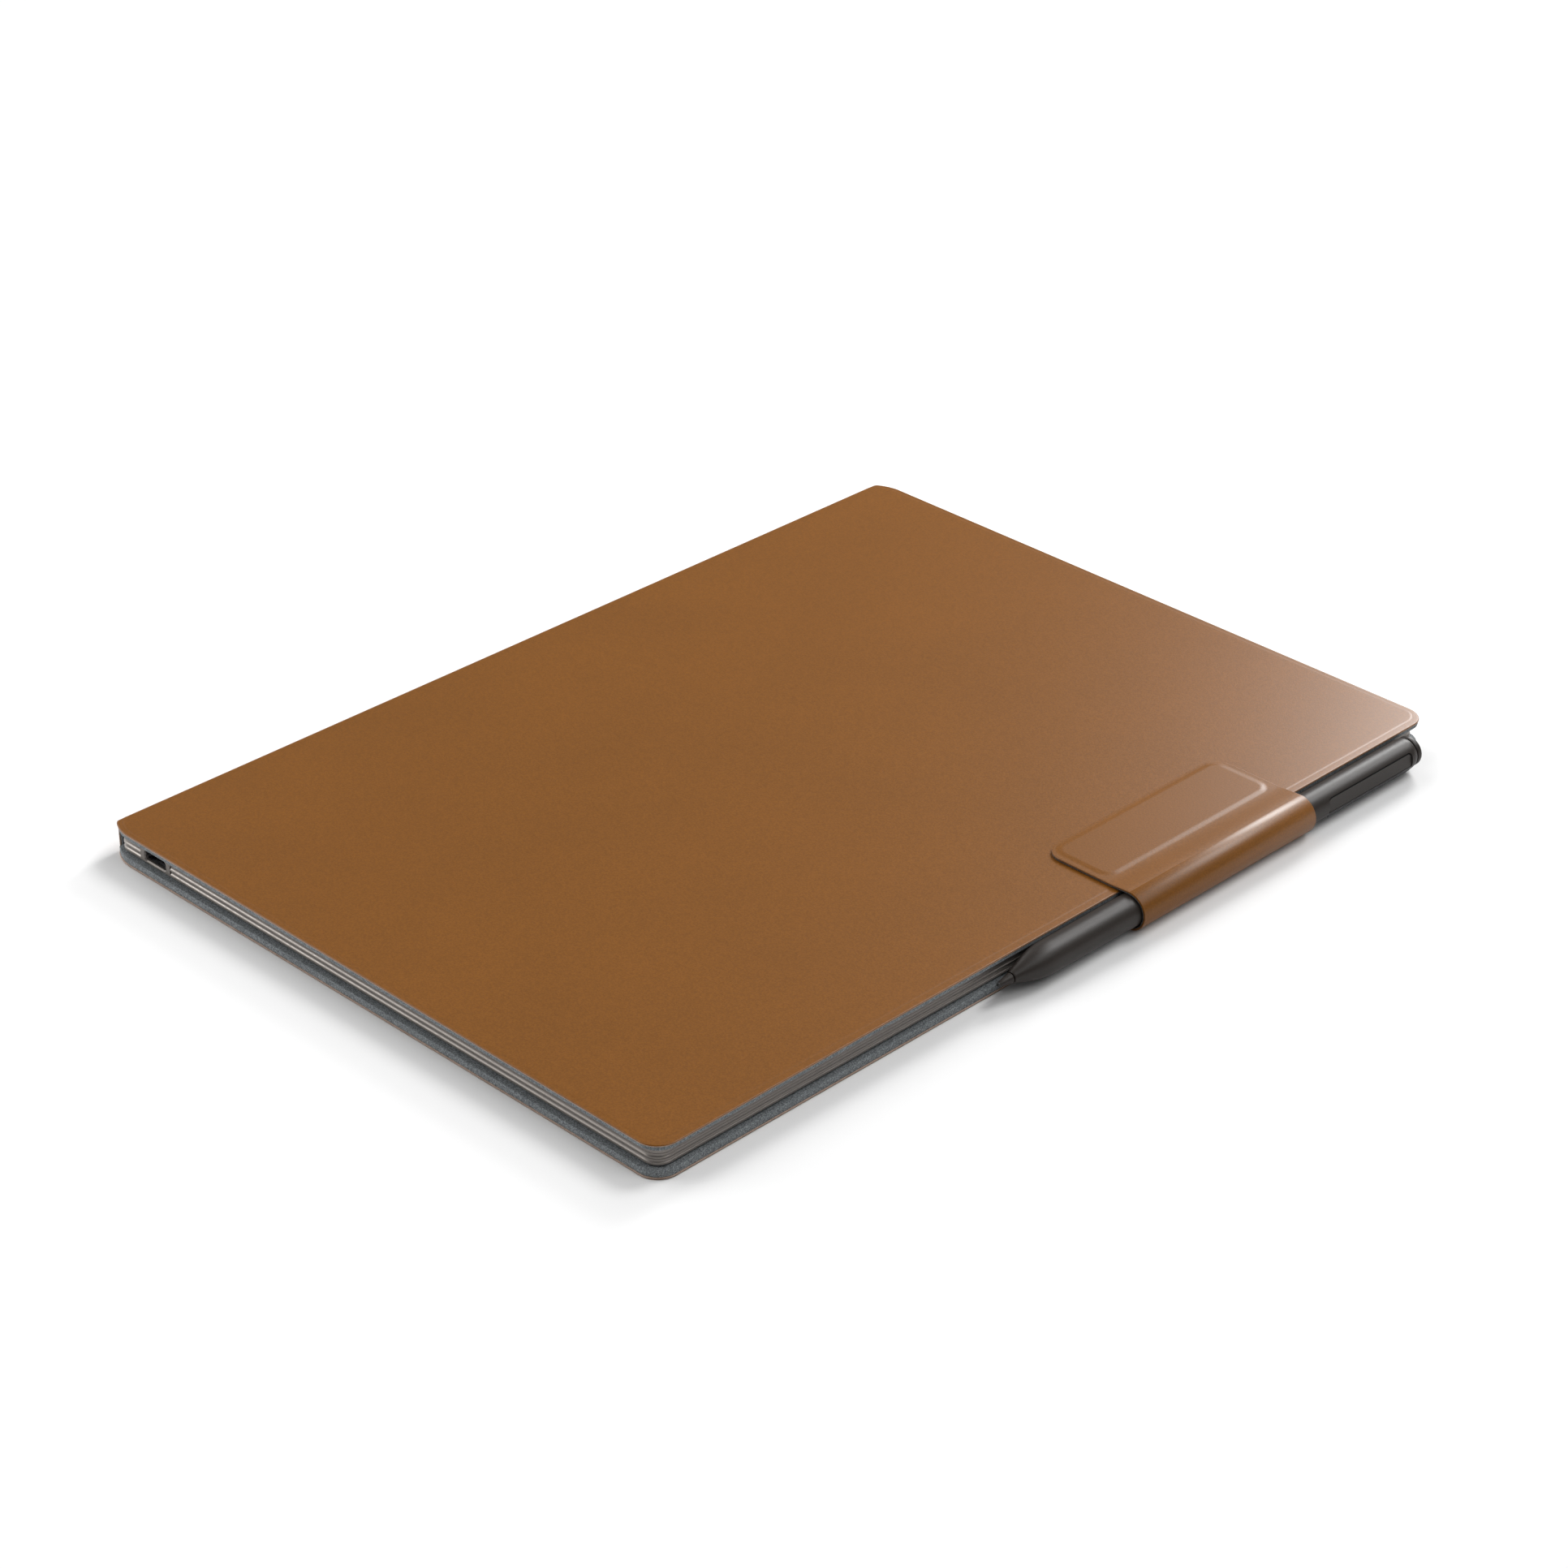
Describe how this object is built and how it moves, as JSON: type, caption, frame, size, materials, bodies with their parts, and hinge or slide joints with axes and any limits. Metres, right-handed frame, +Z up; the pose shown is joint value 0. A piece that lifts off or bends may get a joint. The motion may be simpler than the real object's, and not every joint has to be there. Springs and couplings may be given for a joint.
{
  "type": "e-paper writing tablet in book folio",
  "caption": "Thin e-paper reading and writing tablet lying closed in a leather book folio, with a marker held along one long side by a wrap-around strap.",
  "frame": {"origin": "middle of the closed object's footprint, on the surface it lies on", "axes": "+X from the folio's spine to the marker, +Y from the edge with the charging socket to the top edge, +Z up out of the front cover"},
  "size_m": [0.2086, 0.2782, 0.0106],
  "materials": {
    "leather": "smooth fine grain, satin",
    "lining_fabric": "fine woven polymer lining",
    "stiff_board": "plain",
    "magnet_steel": "nickel plated",
    "frame_metal": "anodised satin",
    "back_plastic": "fine texture",
    "adhesive_tape": "plain",
    "foot_rubber": "matt",
    "front_glass": "etched, anti-glare",
    "clear_guide": "clear",
    "light_board": "plain",
    "paper_film": "paper-like",
    "sensor_film": "copper traces on film",
    "flex_film": "polyimide film",
    "circuit_board": "solder mask",
    "black_plastic": "moulded",
    "battery_foil": "laminated foil",
    "copper_coil": "enamelled copper",
    "gold_contact": "gold plated",
    "marker_body": "fine matt coating",
    "nib_tip": "matt"
  },
  "bodies": {
    "folio_back": {"back_leather": "leather", "back_lining": "lining_fabric", "back_board": "stiff_board", "back_magnets": "magnet_steel", "strap_root": "leather"},
    "spine": {"spine_leather": "leather", "spine_lining": "lining_fabric", "spine_board": "stiff_board"},
    "front_cover": {"front_leather": "leather", "front_lining": "lining_fabric", "front_board": "stiff_board", "front_magnet": "magnet_steel", "catch_plate": "magnet_steel"},
    "strap_lower": {"strap_lower_leather": "leather", "strap_lower_lining": "lining_fabric"},
    "strap_upper": {"strap_upper_leather": "leather", "strap_upper_lining": "lining_fabric"},
    "strap_flap": {"flap_leather": "leather", "flap_lining": "lining_fabric", "flap_magnet": "magnet_steel"},
    "tablet": {"mid_frame": "frame_metal", "back_panel": "back_plastic", "panel_adhesive": "adhesive_tape", "rubber_feet": "foot_rubber", "cover_glass": "front_glass", "glass_adhesive": "adhesive_tape", "light_guide": "clear_guide", "light_strip": "light_board", "paper_display": "paper_film", "pen_sensor": "sensor_film", "display_flex": "flex_film", "main_board": "circuit_board", "board_shield": "magnet_steel", "board_chips": "black_plastic", "board_screws": "magnet_steel", "usb_shell": "magnet_steel", "usb_tongue": "black_plastic", "battery_cells": "battery_foil", "battery_board": "circuit_board", "battery_flex": "flex_film", "charge_coil": "copper_coil", "marker_holder_magnets": "magnet_steel", "dock_magnets": "magnet_steel", "radio_antenna": "flex_film", "accessory_contacts": "gold_contact", "power_switch": "black_plastic"},
    "power_button": {"power_button": "frame_metal"},
    "marker": {"marker_barrel": "marker_body", "marker_rail": "black_plastic", "marker_board": "circuit_board", "marker_cell": "battery_foil", "marker_antenna": "copper_coil", "marker_charge_coil": "copper_coil", "marker_magnets": "magnet_steel"},
    "nib": {"nib_cone": "marker_body", "nib_point": "nib_tip", "nib_stem": "black_plastic"},
    "eraser": {"eraser_cap": "marker_body", "eraser_stem": "black_plastic"}
  },
  "joints": [
    {"name": "spine_fold", "type": "hinge", "parent": "folio_back", "child": "spine", "pos_m": [-0.10433, 0, 0], "axis": [0, -1, 0], "range_deg": [0, 180]},
    {"name": "cover_fold", "type": "hinge", "parent": "spine", "child": "front_cover", "pos_m": [-0.10433, 0, 0.0094], "axis": [0, -1, 0], "range_deg": [0, 180]},
    {"name": "strap_fold_low", "type": "hinge", "parent": "folio_back", "child": "strap_lower", "pos_m": [0.10168, 0.0484, 0.00071], "axis": [0, 1, 0], "range_deg": [0, 60]},
    {"name": "strap_fold_mid", "type": "hinge", "parent": "strap_lower", "child": "strap_upper", "pos_m": [0.10433, 0.0484, 0.0053], "axis": [0, 1, 0], "range_deg": [0, 60]},
    {"name": "strap_fold_top", "type": "hinge", "parent": "strap_upper", "child": "strap_flap", "pos_m": [0.10168, 0.0484, 0.00989], "axis": [0, 1, 0], "range_deg": [0, 60]},
    {"name": "tablet_slide", "type": "slide", "parent": "folio_back", "child": "tablet", "axis": [0, -1, 0], "range_m": [0, 0.29]},
    {"name": "power_button_press", "type": "slide", "parent": "tablet", "child": "power_button", "axis": [0, -1, 0], "range_m": [0, 0.0003], "stiffness_N_per_m": 3000},
    {"name": "marker_slide", "type": "slide", "parent": "tablet", "child": "marker", "axis": [0, 1, 0], "range_m": [0, 0.2]},
    {"name": "nib_press", "type": "slide", "parent": "marker", "child": "nib", "axis": [0, 1, 0], "range_m": [0, 0.0003], "stiffness_N_per_m": 1500},
    {"name": "eraser_press", "type": "slide", "parent": "marker", "child": "eraser", "axis": [0, -1, 0], "range_m": [0, 0.0004], "stiffness_N_per_m": 1500}
  ],
  "couplings": [
    {"joint": "strap_fold_mid", "follows": "strap_fold_low", "ratio": 1},
    {"joint": "strap_fold_top", "follows": "strap_fold_low", "ratio": 1}
  ]
}
